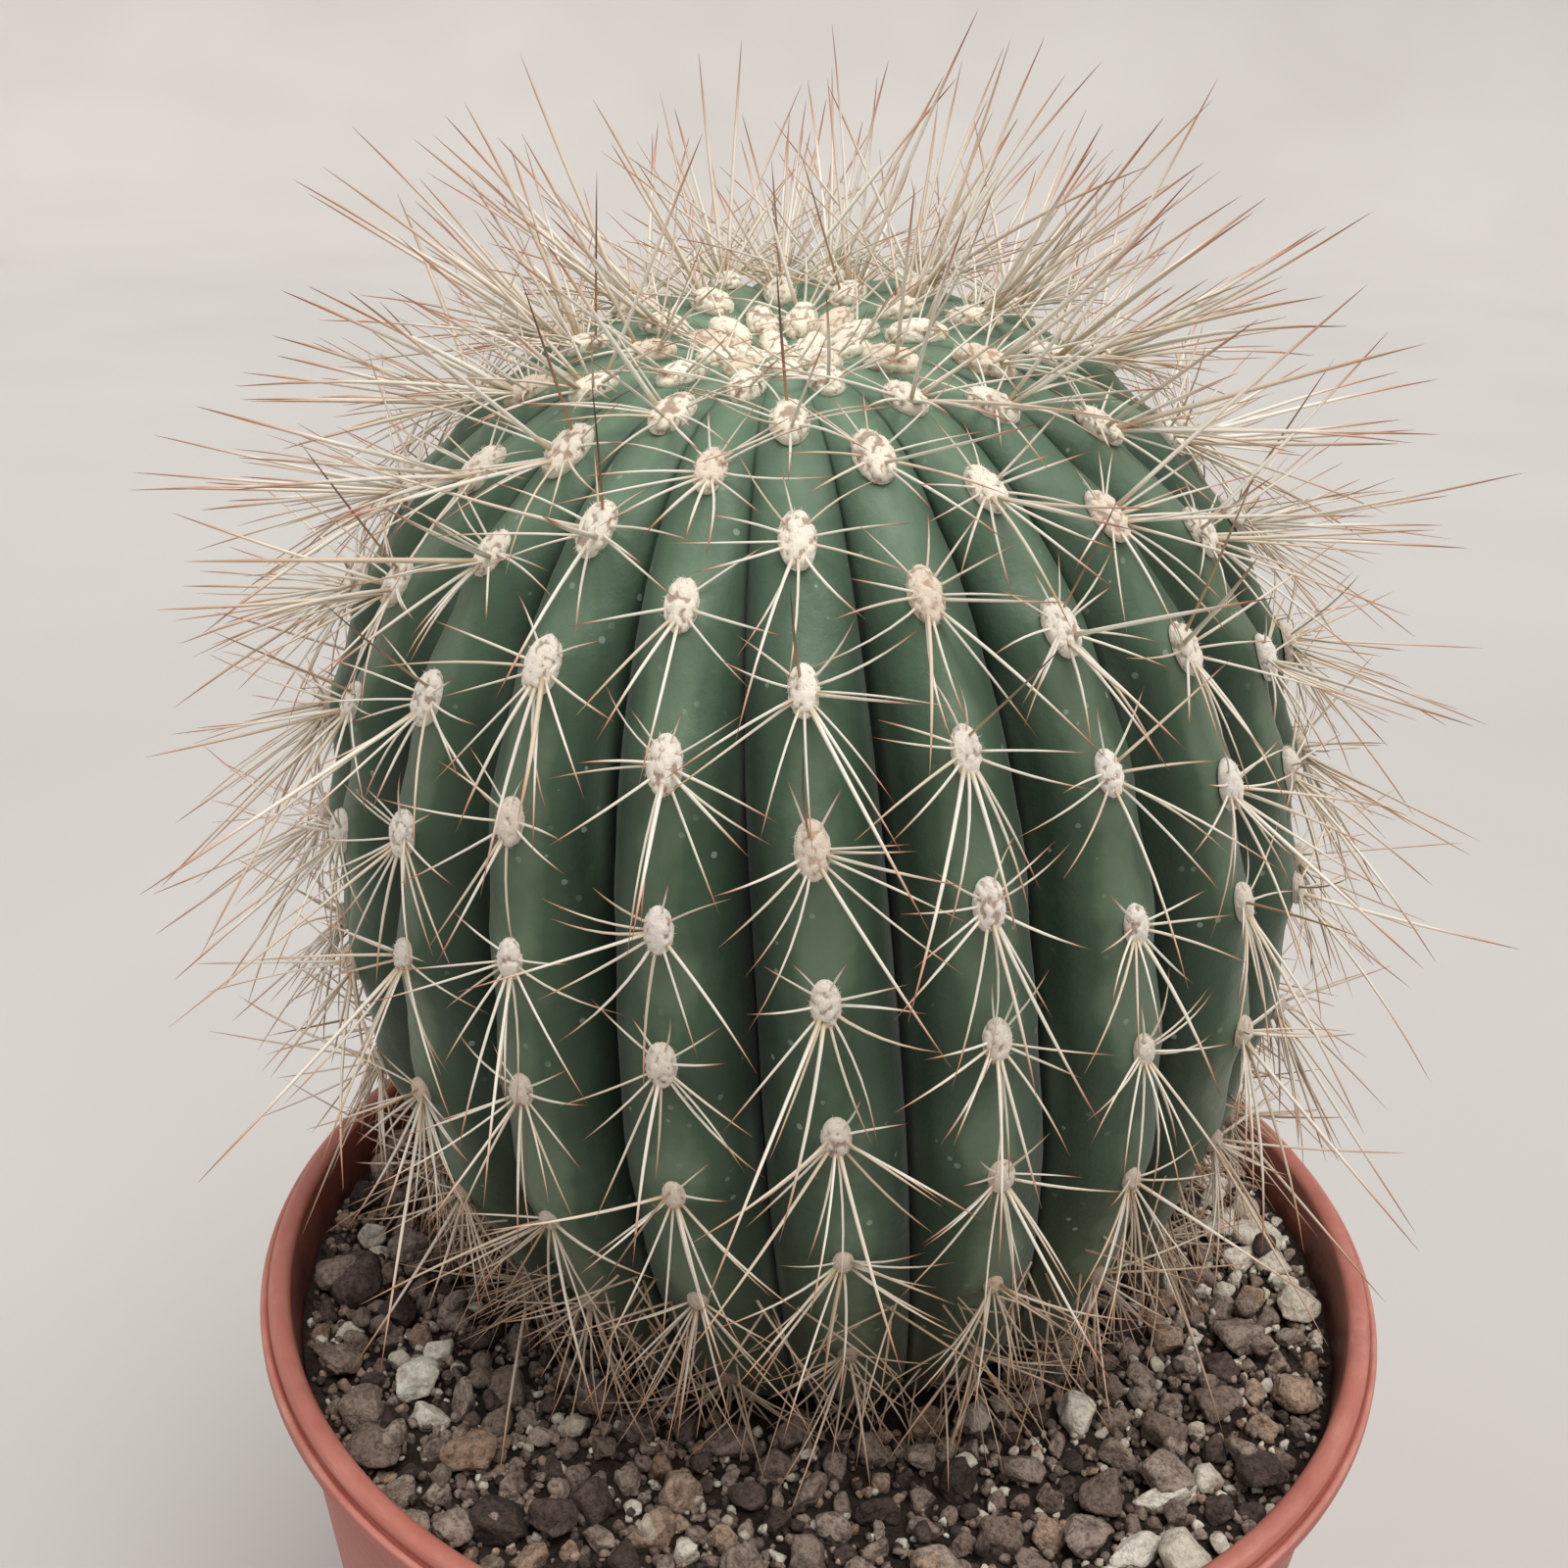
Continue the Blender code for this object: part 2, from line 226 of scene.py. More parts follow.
class Look:
    """A material in the making. A method that adds a texture or maths node gives its output."""

    def __init__(self, name):
        self.material = bpy.data.materials.new(name)
        self.material.use_nodes = True
        self.nodes = self.material.node_tree.nodes
        self.links = self.material.node_tree.links
        self.shader = self.nodes["Principled BSDF"]

    def feed(self, socket, value):
        """Links an output to a socket, or sets a number or a colour on it."""
        if hasattr(value, "links"):
            self.links.new(value, socket)
        else:
            socket.default_value = (*value, 1) if isinstance(value, tuple) else value

    def shade(self, name, value):
        """Feeds one of the shader's own sockets."""
        self.feed(self.shader.inputs[name], value)

    def coords(self):
        return self.nodes.new("ShaderNodeTexCoord").outputs["Object"]

    def attribute(self, name):
        made = self.nodes.new("ShaderNodeAttribute")
        made.attribute_name = name
        return made.outputs["Fac"]

    def noise(self, coords, scale, detail=4, rough=0.55):
        made = self.nodes.new("ShaderNodeTexNoise")
        for name, value in (("Scale", scale), ("Detail", detail), ("Roughness", rough),
                            ("Vector", coords)):
            self.feed(made.inputs[name], value)
        return made.outputs["Fac"]

    def ramp(self, value, *stops):
        """A colour ramp from (position, (r, g, b)) stops."""
        made = self.nodes.new("ShaderNodeValToRGB")
        elements = made.color_ramp.elements
        elements[0].position, elements[1].position = stops[0][0], stops[-1][0]
        elements[0].color, elements[1].color = (*stops[0][1], 1), (*stops[-1][1], 1)
        for position, colour in stops[1:-1]:
            elements.new(position).color = (*colour, 1)
        self.links.new(value, made.inputs["Fac"])
        return made.outputs["Color"]

    def rise(self, value, start, end, low=0.0, high=1.0):
        """A grey that runs from low to high as the value goes from start to end."""
        return self.ramp(value, (start, (low,) * 3), (end, (high,) * 3))

    def mix(self, factor, a, b, blend="MIX"):
        made = self.nodes.new("ShaderNodeMix")
        made.data_type = "RGBA"
        made.blend_type = blend
        # the colour sockets' places among those of the node's other data types
        for socket, value in ((0, factor), (6, a), (7, b)):
            self.feed(made.inputs[socket], value)
        return made.outputs[2]

    def maths(self, operation, a, b, clamp=False):
        made = self.nodes.new("ShaderNodeMath")
        made.operation = operation
        made.use_clamp = clamp
        self.feed(made.inputs[0], a)
        self.feed(made.inputs[1], b)
        return made.outputs[0]

    def plus(self, a, b):
        return self.maths("ADD", a, b)

    def times(self, a, b, clamp=False):
        return self.maths("MULTIPLY", a, b, clamp)

    def bump(self, height, strength, distance):
        made = self.nodes.new("ShaderNodeBump")
        for name, value in (("Strength", strength), ("Distance", distance), ("Height", height)):
            self.feed(made.inputs[name], value)
        self.shade("Normal", made.outputs["Normal"])


def skin_material():
    look = Look("cactus_skin_look")
    at = look.coords()
    ridge, age = look.attribute("crest"), look.attribute("age")
    patches = look.noise(at, 55, 5)
    fine = look.noise(at, 420, 5, 0.65)
    # the skin is painted lighter on the crests and much darker down into the furrows: painted light
    # on the crests and painted shade in the furrows, mottled by patches
    height = look.plus(ridge, look.times(look.maths("SUBTRACT", patches, 0.5), 0.45))
    green = look.ramp(height, (0.0, (0.010, 0.020, 0.011)), (0.35, (0.015, 0.031, 0.016)),
                      (0.74, (0.022, 0.046, 0.024)), (0.92, (0.044, 0.083, 0.045)),
                      (1.0, (0.120, 0.172, 0.108)))
    green = look.mix(look.times(fine, 0.12), green, (0.09, 0.14, 0.09))
    # a painted sheen: pale patches along the ribs' sides, where grazing light catches them
    wide = look.noise(at, 24, 2)
    side = look.ramp(ridge, (0.22, BLACK), (0.42, WHITE), (0.62, BLACK))
    painted_sheen = look.times(side, look.rise(wide, 0.46, 0.62, high=0.55))
    green = look.mix(painted_sheen, green, (0.16, 0.22, 0.155))
    # the young skin at the crown is paler, and lighter still on its crests: partly the young
    # growth's own colour, partly painted light from above
    young = look.rise(age, 0.06, 0.45, low=0.9, high=0.0)
    pale = look.mix(ridge, (0.075, 0.140, 0.085), (0.20, 0.310, 0.205))
    green = look.mix(young, green, pale)
    old = look.times(look.rise(age, 0.78, 1.0), patches, clamp=True)
    green = look.mix(old, green, (0.10, 0.09, 0.045))
    # pale specks in patches
    spots = look.nodes.new("ShaderNodeTexVoronoi")
    look.feed(spots.inputs["Scale"], 330)
    look.feed(spots.inputs["Vector"], at)
    speck = look.maths("LESS_THAN", spots.outputs["Distance"], 0.13)
    speck = look.times(speck, look.rise(look.noise(at, 90, 2), 0.5, 0.62))
    green = look.mix(look.times(speck, 0.45), green, (0.42, 0.50, 0.42))
    look.shade("Base Color", green)
    look.shade("Roughness", look.rise(fine, 0.3, 0.7, 0.42, 0.6))
    look.shade("Specular IOR Level", 0.35)
    look.shade("Sheen Weight", 0.12)
    look.shade("Sheen Roughness", 0.4)
    look.bump(look.plus(fine, look.times(patches, 2.0)), 0.35, 0.0006)
    return look.material


def wool_material():
    look = Look("areole_wool_look")
    at = look.coords()
    age, tone, out = look.attribute("age"), look.attribute("tone"), look.attribute("out")
    clump = look.noise(at, 900, 4, 0.7)
    base = look.ramp(age, (0.08, (0.96, 0.90, 0.75)), (0.22, (0.92, 0.84, 0.71)),
                     (0.5, (0.86, 0.81, 0.74)), (0.72, (0.66, 0.57, 0.48)),
                     (0.95, (0.26, 0.18, 0.13)))
    # the gaps between the crumbs are painted darker and browner than the crumbs and strands:
    # painted shade in the gaps
    dark = look.mix(0.75, base, (0.26, 0.135, 0.08))
    depth = look.plus(look.times(clump, 0.45), look.times(out, 0.75))
    colour = look.mix(look.rise(depth, 0.22, 0.50), dark, base)
    colour = look.mix(look.times(tone, 0.45), colour, (0.60, 0.40, 0.25))
    look.shade("Base Color", colour)
    look.shade("Roughness", 0.95)
    look.shade("Specular IOR Level", 0.15)
    look.shade("Sheen Weight", 0.35)
    look.bump(clump, 0.7, 0.0004)
    return look.material


def spine_material():
    look = Look("spine_look")
    at = look.coords()
    along, tone, age = look.attribute("along"), look.attribute("tone"), look.attribute("age")
    dark = look.attribute("dark")
    streak = look.noise(at, 700, 3)
    pale = look.ramp(along, (0.0, (0.60, 0.49, 0.28)), (0.14, (0.92, 0.89, 0.79)),
                     (0.60, (0.92, 0.86, 0.75)), (0.84, (0.60, 0.29, 0.18)),
                     (0.96, (0.20, 0.055, 0.032)))
    red = look.ramp(along, (0.0, (0.52, 0.34, 0.15)), (0.22, (0.36, 0.17, 0.08)),
                    (0.55, (0.13, 0.042, 0.028)), (0.95, (0.025, 0.010, 0.009)))
    colour = look.mix(dark, pale, red)
    # tone tans a spine: partly at random, partly as painted light through the spines and painted
    # shade on the side and back ribs
    colour = look.mix(look.times(tone, 0.6), colour, (0.60, 0.40, 0.235))
    old = look.rise(age, 0.68, 1.0, high=0.8)
    colour = look.mix(old, colour, (0.34, 0.215, 0.125))
    colour = look.mix(look.times(streak, 0.12), colour, (0.36, 0.21, 0.12))
    look.shade("Base Color", colour)
    look.shade("Roughness", look.rise(streak, 0.3, 0.7, 0.35, 0.55))
    look.bump(streak, 0.3, 0.0002)
    return look.material


def plastic_material():
    look = Look("pot_plastic_look")
    at = look.coords()
    edge, inside = look.attribute("edge"), look.attribute("inside")
    cloud = look.noise(at, 26, 4)
    stretched = look.nodes.new("ShaderNodeMapping")
    stretched.inputs["Scale"].default_value = (1, 1, 9)
    look.feed(stretched.inputs["Vector"], at)
    streaks = look.noise(stretched.outputs["Vector"], 120, 5, 0.7)
    grain = look.noise(at, 1500, 2)
    colour = look.ramp(cloud, (0.3, (0.33, 0.086, 0.060)), (0.7, (0.44, 0.126, 0.090)))
    scuff = look.rise(streaks, 0.54, 0.72)
    colour = look.mix(look.times(scuff, 0.35), colour, (0.54, 0.25, 0.195))
    # rubbed paler and painted with a highlight along the rim's crest and the band under its groove
    rub_and_highlight = look.times(edge, look.rise(streaks, 0.35, 0.65, low=0.3))
    colour = look.mix(look.times(rub_and_highlight, 0.75), colour, (0.58, 0.28, 0.225))
    # the inner wall darkens below the rim: partly soil stain, partly painted shade inside the pot
    stain_and_shade_noise = look.rise(look.noise(at, 70, 5, 0.7), 0.42, 0.68)
    soil_stain_and_shade = look.times(inside, look.plus(stain_and_shade_noise, 0.35), clamp=True)
    colour = look.mix(look.times(soil_stain_and_shade, 0.9), colour, (0.060, 0.026, 0.019))
    look.shade("Base Color", colour)
    look.shade("Roughness", look.rise(streaks, 0.3, 0.75, 0.40, 0.62))
    look.bump(look.plus(look.times(grain, 0.25), streaks), 0.22, 0.0004)
    return look.material


def grain_material(name, low, high, spot, pit_shade=0.32):
    """Porous stone, from low to high by piece, with patches of another colour and pits painted dark
    with shade.
    """
    look = Look(name)
    at = look.coords()
    tone = look.attribute("tone")
    colour = look.mix(tone, low, high)
    patch = look.noise(at, 330, 5, 0.7)
    pits = look.noise(at, 1300, 4, 0.7)
    colour = look.mix(look.rise(patch, 0.46, 0.64, high=0.75), colour, spot)
    # painted shade darkens the pits
    colour = look.mix(1.0, colour, look.rise(pits, 0.32, 0.56, low=pit_shade), "MULTIPLY")
    look.shade("Base Color", colour)
    look.shade("Roughness", 0.9)
    look.shade("Specular IOR Level", 0.25)
    look.bump(look.plus(pits, patch), 0.8, 0.0007)
    return look.material


SKIN = skin_material()
WOOL = wool_material()
SPINE = spine_material()
PLASTIC = plastic_material()
EARTH = grain_material("soil_look", (0.022, 0.014, 0.010), (0.055, 0.036, 0.026),
                       (0.012, 0.008, 0.006))
LAVA = grain_material("lava_look", (0.070, 0.048, 0.041), (0.150, 0.104, 0.088),
                      (0.040, 0.027, 0.024))
GREY = grain_material("grey_stone_look", (0.23, 0.168, 0.135), (0.43, 0.335, 0.275),
                      (0.14, 0.095, 0.075))
TAN = grain_material("tan_stone_look", (0.34, 0.225, 0.155), (0.52, 0.375, 0.275),
                     (0.21, 0.13, 0.085))
PUMICE = grain_material("pumice_look", (0.62, 0.545, 0.44), (0.92, 0.86, 0.76),
                        (0.48, 0.39, 0.30), pit_shade=0.62)


# ------------------------ pot

def arc(r, z, radius, start, end, steps):
    """Points on an arc between two angles in degrees."""
    angles = np.radians(np.linspace(start, end, steps + 1))
    return [(r + radius * math.cos(a), z + radius * math.sin(a)) for a in angles]


def inner_wall_radius(height):
    share = height / (RIM_TOP - RIM_ROUND)
    return (BASE_RADIUS - WALL) * (1 - share) + RIM_INNER_RADIUS * share


def pot_profile():
    """(radius, height) from the floor's middle up the inside, over the rim, down the outside."""
    under = RIM_TOP - RIM_DEPTH
    soft = 0.55 * MM
    points = [(0, FLOOR), (BASE_RADIUS * 0.5, FLOOR)]
    points += arc(inner_wall_radius(FLOOR) - 2 * MM, FLOOR + 2 * MM, 2 * MM, -90, 0, 6)
    for height in np.linspace(8 * MM, RIM_TOP - 4 * MM, 30):
        points.append((inner_wall_radius(height), height))
    roll, drop = RIM_ROUND, 1.35 * MM
    for angle in np.radians(np.linspace(180, -30, 22)):
        points.append((RIM_INNER_RADIUS + roll * (1 + math.cos(angle)),
                       RIM_TOP + drop * (math.sin(angle) - 1)))
    # a groove parts the roll from the band below it
    points += [(RIM_INNER_RADIUS + across * MM, RIM_TOP - down * MM)
               for across, down in ((3.02, 2.3), (3.15, 2.55), (3.35, 2.4))]
    points += arc(RIM_OUTER_RADIUS - soft, RIM_TOP - 2.55 * MM, soft, 110, 0, 8)
    points += arc(RIM_OUTER_RADIUS - soft, under + soft, soft, 0, -90, 6)
    corner = inner_wall_radius(under) + WALL + 0.5 * MM
    points.append((corner, under))
    points += arc(corner, under - 0.5 * MM, 0.5 * MM, 90, 180, 4)
    for height in np.linspace(under - 3 * MM, 5 * MM, 40):
        points.append((inner_wall_radius(height) + WALL, height))
    points += arc(BASE_RADIUS - 2 * MM, 2 * MM, 2 * MM, 0, -90, 6)
    points += [(BASE_RADIUS * 0.5, 0), (0, 0)]
    return points


def build_pot():
    steps = 288
    profile = np.array(pot_profile())
    rings = profile[1:-1]
    around = np.linspace(0, 2 * np.pi, steps, endpoint=False)
    height = np.repeat(rings[:, 1], steps)
    a = np.tile(around, len(rings))
    out = np.repeat(rings[:, 0], steps)
    # the thin wall is a little out of round, more so near the rim
    sway = 0.16 * MM * np.sin(3 * a + 0.7) * np.clip(height / RIM_TOP, 0, 1)
    r = out + np.where(out > DRAIN_RING + 15 * MM, sway, 0)
    verts = np.stack([r * np.sin(a), -r * np.cos(a), height], 1)
    verts = np.concatenate([verts, [[0, 0, FLOOR], [0, 0, 0]]])
    floor_middle, underside_middle = len(verts) - 2, len(verts) - 1
    faces = np.concatenate([between_rings(len(rings), steps),
                            fan(floor_middle, 0, steps, flip=True),
                            fan(underside_middle, (len(rings) - 1) * steps, steps)])
    # edge marks the places that rub pale and take a painted highlight; inside marks the wall that
    # the soil has stained and that is painted dark as shade
    crown = np.clip(1 - abs(height - (RIM_TOP - 0.2 * MM)) / (1.5 * MM), 0, 1)
    band = np.clip(1 - abs(height - (RIM_TOP - 2.1 * MM)) / (0.45 * MM), 0, 1)
    outer = out > RIM_OUTER_RADIUS - 1.6 * MM
    edge = np.append(np.maximum(0.55 * crown, np.where(outer, band, 0)), [0, 0])
    wall = out < inner_wall_radius(height) + 0.6 * MM
    inside = np.clip((RIM_TOP - 1.5 * MM - height) / (6 * MM), 0, 1) * wall
    pot = new_mesh("pot_shell", verts, faces, edge=edge, inside=np.append(inside, [1, 0]))
    holes = []
    for hole in range(DRAIN_HOLES):
        angle = 2 * math.pi * hole / DRAIN_HOLES
        bpy.ops.mesh.primitive_cylinder_add(
            vertices=48, radius=DRAIN_RADIUS, depth=12 * MM,
            location=(DRAIN_RING * math.sin(angle), -DRAIN_RING * math.cos(angle), FLOOR / 2))
        holes.append(bpy.context.object)
        cut = pot.modifiers.new("drain", "BOOLEAN")
        cut.operation = "DIFFERENCE"
        cut.object = holes[-1]
    bpy.context.view_layer.update()
    graph = bpy.context.evaluated_depsgraph_get()
    mesh = bpy.data.meshes.new_from_object(pot.evaluated_get(graph))
    pot.modifiers.clear()
    pot.data = mesh
    for hole in holes:
        bpy.data.objects.remove(hole)
    mesh.set_sharp_from_angle(angle=math.radians(55))
    finish_piece(pot, PLASTIC, "pot_plastic", "pot")


# ------------------------ stem

def crest(degrees):
    """(radius, height) of the ribs' crests at polar angles, from the stem's own centre."""
    distance = np.interp(degrees, *STEM_CURVE) * STEM_RADIUS
    angle = np.radians(degrees)
    return distance * np.sin(angle), distance * np.cos(angle)


def rib_sway(rib, degrees):
    """How far a rib's line wanders sideways, as a share of a rib."""
    points = np.stack([np.asarray(rib) * 3.1, np.asarray(degrees) / 34, np.zeros_like(degrees)], 1)
    return 0.055 * value_noise(points, 1.0, 3) * np.clip(np.asarray(degrees) / 30, 0, 1)


def areole_angles(rib):
    angles = FIRST_AREOLE[rib % 2] + AREOLE_STEP * np.arange(AREOLES_PER_RIB)
    return angles[angles < LAST_AREOLE]


def stem_surface(rib, across, degrees):
    """Points in the stem's own frame. across runs from -1 to 1 between a rib's two furrows."""
    radius, height = crest(degrees)
    depth = np.interp(degrees, *FURROW_CURVE) * FURROW_DEPTH
    share = 1 - np.cos(np.pi / 2 * across)
    sine = np.sin(np.radians(degrees))
    swell = np.zeros_like(degrees)
    for parity in (0, 1):
        mine = (rib % 2) == parity
        for angle in areole_angles(parity):
            near = np.exp(-((degrees - angle) / 4.2) ** 2)
            swell = np.where(mine, np.maximum(swell, near), swell)
    lift = (swell - 0.35) * (1.1 * MM) * np.cos(np.pi / 2 * across) ** 2
    lift *= np.clip(degrees / 40, 0, 1) * np.clip((150 - degrees) / 25, 0, 1)
    radius = radius - depth * share * sine + lift * sine
    height = height + lift * np.cos(np.radians(degrees))
    turn = rib + 0.5 * np.sin(np.pi / 2 * across) + rib_sway(rib, degrees) * (1 - share) ** 0.5
    around = 2 * np.pi * turn / RIBS
    return np.stack([radius * np.sin(around), -radius * np.cos(around), height], 1)


def to_world(points):
    return points @ TURN.T + CENTRE


def build_stem():
    per_rib, rings = 16, 236
    columns = RIBS * per_rib
    # rings lie closer together near the crown, where they are seen from above
    degrees = 1.2 + 170 * np.linspace(0, 1, rings) ** 1.08
    d, c = np.meshgrid(degrees, np.arange(columns), indexing="ij")
    d, c = d.ravel(), c.ravel()
    rib = c // per_rib
    across = -1 + 2 * (c % per_rib) / per_rib
    points = stem_surface(rib.astype(float), across, d)
    uneven = (0.10 * MM * value_noise(points, 2.2 * MM, 1)
              + 0.22 * MM * value_noise(points, 9 * MM, 2))
    normal = points / np.linalg.norm(points, axis=1, keepdims=True)
    points = points + normal * uneven[:, None]
    top = np.array([[0, 0, crest(0.0)[1] - 0.2 * MM]])
    foot = np.array([[0, 0, points[-columns:, 2].mean()]])
    verts = to_world(np.concatenate([points, top, foot]))
    pole = rings * columns
    faces = np.concatenate([between_rings(rings, columns, flip=True), fan(pole, 0, columns),
                            fan(pole + 1, (rings - 1) * columns, columns, flip=True)])
    share = np.append(np.cos(np.pi / 2 * across), [0.5, 0.5])
    stem = new_mesh("cactus_stem_skin", verts, faces, crest=share,
                    age=np.append(d / OLDEST, [0, 1]))
    finish_piece(stem, SKIN, "cactus_skin", "cactus_stem")


# ------------------------ areoles

def areole_list():
    """(rib, polar angle, tier) of every areole, with a little natural scatter."""
    found = []
    for rib in range(RIBS):
        for angle in areole_angles(rib):
            wander = rng.normal(0, 0.7) if angle > 20 else 0.0
            tier = TIERS[0 if angle < 31 else (1 if angle < 64 else 2)]
            found.append((rib, float(angle + wander), tier))
    return found


AREOLES = areole_list()
# Pads that have only just formed in the middle of the crown, still without spines
BUDS = ([(rib, 4.8, "crown") for rib in range(0, RIBS, 4)]
        + [(rib, 1.6, "crown") for rib in (1, 8, 15)])


CRUMBS_PER_PAD = 150
CRUMB_RADIUS = 0.50 * MM


def areole_frame(rib, degrees):
    """Place and axes of an areole: across the rib, up it and out of it."""
    r = np.array([float(rib)])
    zero = np.zeros(1)
    here = stem_surface(r, zero, np.array([degrees]))[0]
    above = stem_surface(r, zero, np.array([max(degrees - 2.0, 0.5)]))[0]
    below = stem_surface(r, zero, np.array([degrees + 2.0]))[0]
    side = stem_surface(r, zero + 0.1, np.array([degrees]))[0]
    up = above - below
    up /= np.linalg.norm(up)
    across = side - here
    across -= up * (across @ up)
    across /= np.linalg.norm(across)
    out = np.cross(across, up)
    axes = np.stack([across, up, out], 1)
    return to_world(here[None])[0], TURN @ axes


def pad_size(degrees):
    """Half width, half length and height of the wool at a polar angle."""
    at = (0, 14, 28, 50, 80, 100, 118, 150)
    width = np.interp(degrees, at, (1.7, 2.1, 2.1, 1.85, 1.65, 1.55, 1.35, 1.0)) * MM
    length = np.interp(degrees, at, (2.4, 3.6, 3.6, 3.2, 2.9, 2.4, 1.8, 1.2)) * MM
    height = np.interp(degrees, at, (1.6, 1.8, 1.6, 1.4, 1.3, 1.2, 1.0, 0.8)) * MM
    return width, length, height


def build_wool():
    """The wool pads, a piece for each tier. Their attribute out tells a crumb from a gap."""
    sphere, faces = ico(4)
    faces = faces[np.all(sphere[faces][:, :, 2] > -0.35, axis=1)]
    for tier in TIERS:
        parts, age, tone, out = [], [], [], []
        for number, (rib, degrees, which) in enumerate(AREOLES + BUDS):
            if which != tier:
                continue
            place, axes = areole_frame(rib, degrees)
            size = np.array(pad_size(degrees))
            grow = rng.uniform(0.88, 1.12)
            shape = sphere * size * grow
            # the wool has clotted into crumbs with gaps between them
            crumbs = rng.normal(size=(CRUMBS_PER_PAD, 3))
            crumbs *= size * grow / np.linalg.norm(crumbs, axis=1, keepdims=True)
            away = np.sqrt(((shape[:, None] - crumbs[None]) ** 2).sum(2).min(1))
            tuft = np.clip(1 - (away / CRUMB_RADIUS) ** 2, 0, 1)
            tuft = tuft + 0.25 * value_noise(shape, 0.3 * MM, number)
            rough = 0.30 * MM * (tuft - 0.3) * np.clip(sphere[:, 2] + 0.5, 0, 1)
            shape = shape + sphere * rough[:, None]
            shape[:, 2] = np.maximum(shape[:, 2], -0.25 * size[2])
            parts.append((shape @ axes.T + place, faces))
            age.append(np.full(len(sphere), degrees / OLDEST))
            brown = rng.uniform(0.6, 1) if rng.uniform() < 0.16 else rng.uniform(0, 0.25)
            tone.append(np.full(len(sphere), brown))
            out.append(tuft)
            strands, strand_faces = wool_strands(shape, sphere, size[0])
            count = len(strands)
            parts.append((strands @ axes.T + place, strand_faces))
            age.append(np.full(count, degrees / OLDEST))
            tone.append(np.full(count, 0.1))
            out.append(np.full(count, 0.9))
        verts, all_faces = joined(parts)
        wool = new_mesh(f"areole_wool_{tier}", verts, all_faces, age=np.concatenate(age),
                        tone=np.concatenate(tone), out=np.concatenate(out))
        nodes = [f"areole_{tier}_{k:02d}" for k in range(1, RIBS // 2 + 1)]
        finish_piece(wool, WOOL, "areole_and_spines", *nodes)


def wool_strands(shape, sphere, width, count=70):
    """Short tapered fibres that stand out of a pad."""
    upper = np.flatnonzero(sphere[:, 2] > -0.1)
    pick = rng.choice(upper, count)
    base = shape[pick]
    lean = sphere[pick] + rng.normal(0, 0.45, (count, 3))
    lean /= np.linalg.norm(lean, axis=1, keepdims=True)
    # fibres are in proportion to the pad, and 1.7 mm is the half width of the smallest crown pad
    tip = base + lean * (rng.uniform(0.25, 0.6, count) * MM * (width / (1.7 * MM)))[:, None]
    side = np.cross(lean, rng.normal(0, 1, (count, 3)))
    side /= np.linalg.norm(side, axis=1, keepdims=True)
    other = np.cross(lean, side)
    radius = 0.035 * MM
    thirds = (0, 2.09, 4.19)  # of a turn, in radians
    corners = [base + radius * (math.cos(a) * side + math.sin(a) * other) for a in thirds]
    verts = np.stack([*corners, tip], 1).reshape(-1, 3)
    start = 4 * np.arange(count)[:, None]
    sides = ((0, 1, 3), (1, 2, 3), (2, 0, 3), (0, 2, 1))
    faces = np.concatenate([start + np.array(f) for f in sides])
    return verts, faces


# ------------------------ spines

# How far the spines may pass the CAD model's box: 3% of its side and 10 mm, less some room
ROOM = 1.2 * MM
LOW = np.array(CAD_BOUNDS[0])
HIGH = np.array(CAD_BOUNDS[1])
MARGIN = 0.03 * (HIGH - LOW) + 10 * MM - ROOM
RADIAL_ANGLES = (180, 154, -154, 129, -129, 104, -104, 79, -79, 50, -50, 20, -20)
DRY_SPINES = 760


